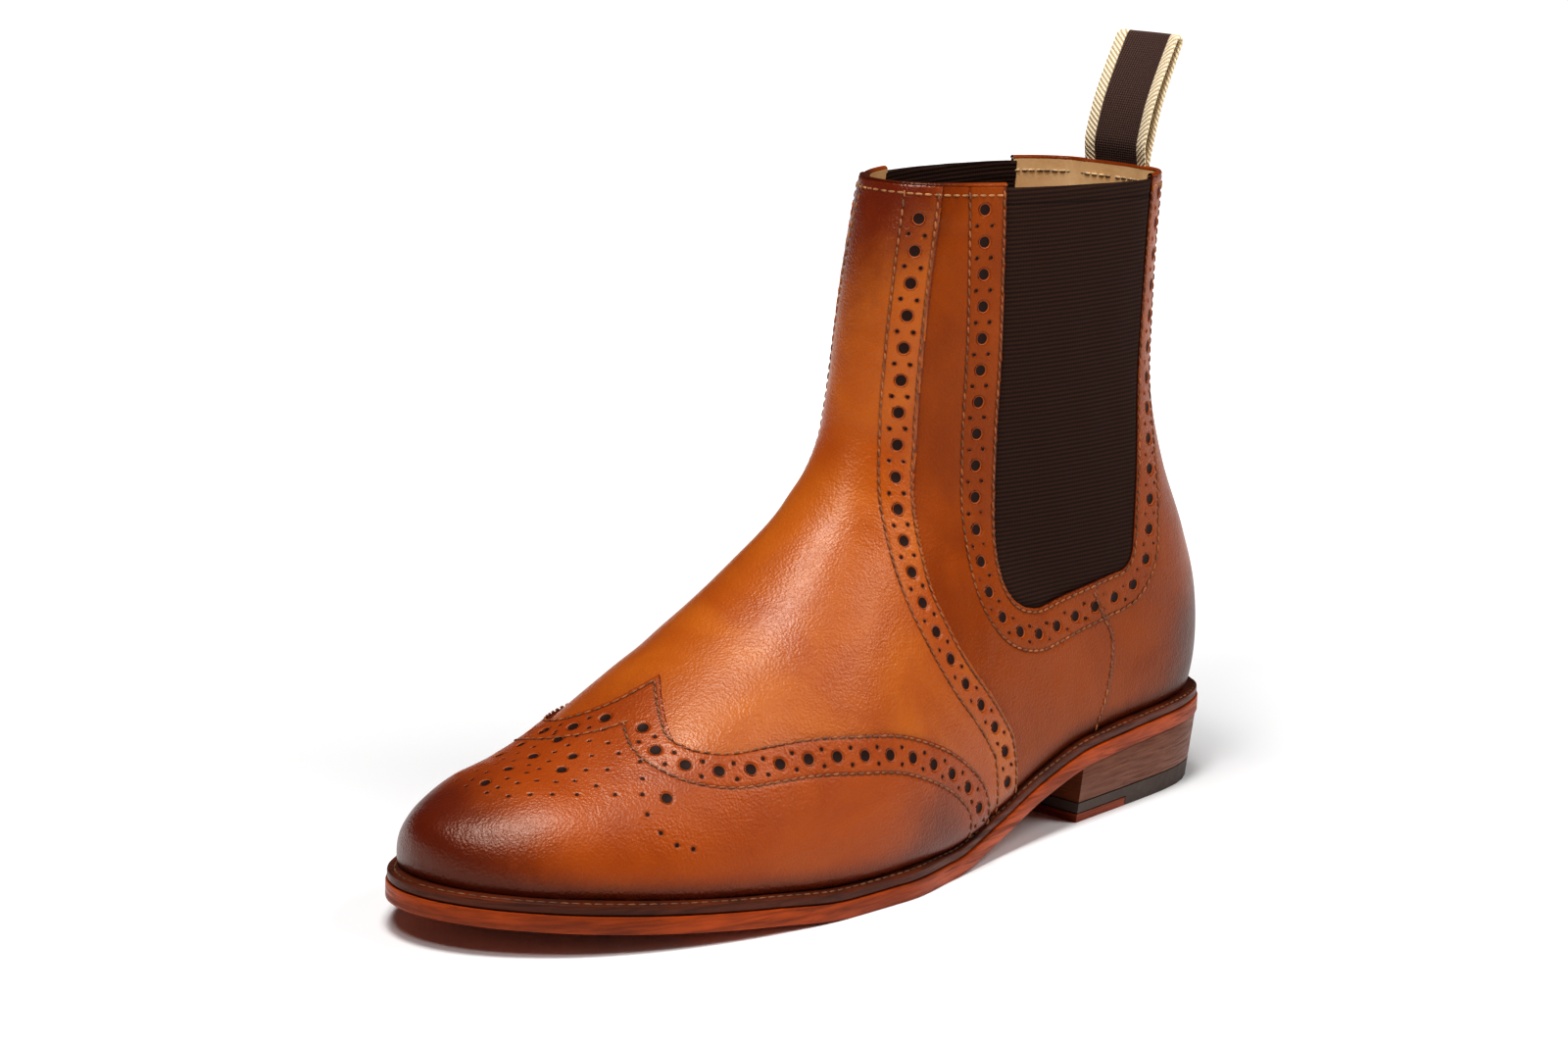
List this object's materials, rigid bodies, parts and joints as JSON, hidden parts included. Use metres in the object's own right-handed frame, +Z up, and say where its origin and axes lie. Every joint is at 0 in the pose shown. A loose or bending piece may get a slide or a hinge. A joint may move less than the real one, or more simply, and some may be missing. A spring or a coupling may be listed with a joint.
{
  "type": "leather boot",
  "caption": "Left leather ankle boot with wing cap, elastic side gores, rear pull loop, welted leather sole and stacked heel.",
  "frame": {"origin": "on the floor, under the middle of the boot's bounding box", "axes": "+Z up; +Y runs back along the boot's length, so the toe points towards -Y; +X is the wearer's left, the outer side of this left boot"},
  "size_m": [0.1012, 0.303, 0.2283],
  "materials": {
    "tan_leather": "polished, burnished darker at toe and heel",
    "cap_leather": "polished, burnished dark at the toe",
    "elastic": "matte ribbed",
    "webbing": "matte woven, cream edges",
    "welt_leather": "waxed edge",
    "sole_leather": "waxed edge",
    "insole_leather": "natural",
    "heel_stack_leather": "waxed stacked layers",
    "heel_rubber": "matte"
  },
  "bodies": {
    "root": {"upper": "tan_leather", "wing_cap": "cap_leather", "elastic_gore_left": "elastic", "elastic_gore_right": "elastic", "pull_loop": "webbing", "welt": "welt_leather", "outsole": "sole_leather", "insole": "insole_leather", "heel_stack": "heel_stack_leather", "heel_rubber": "heel_rubber", "heel_leather_tip": "sole_leather"}
  },
  "joints": []
}
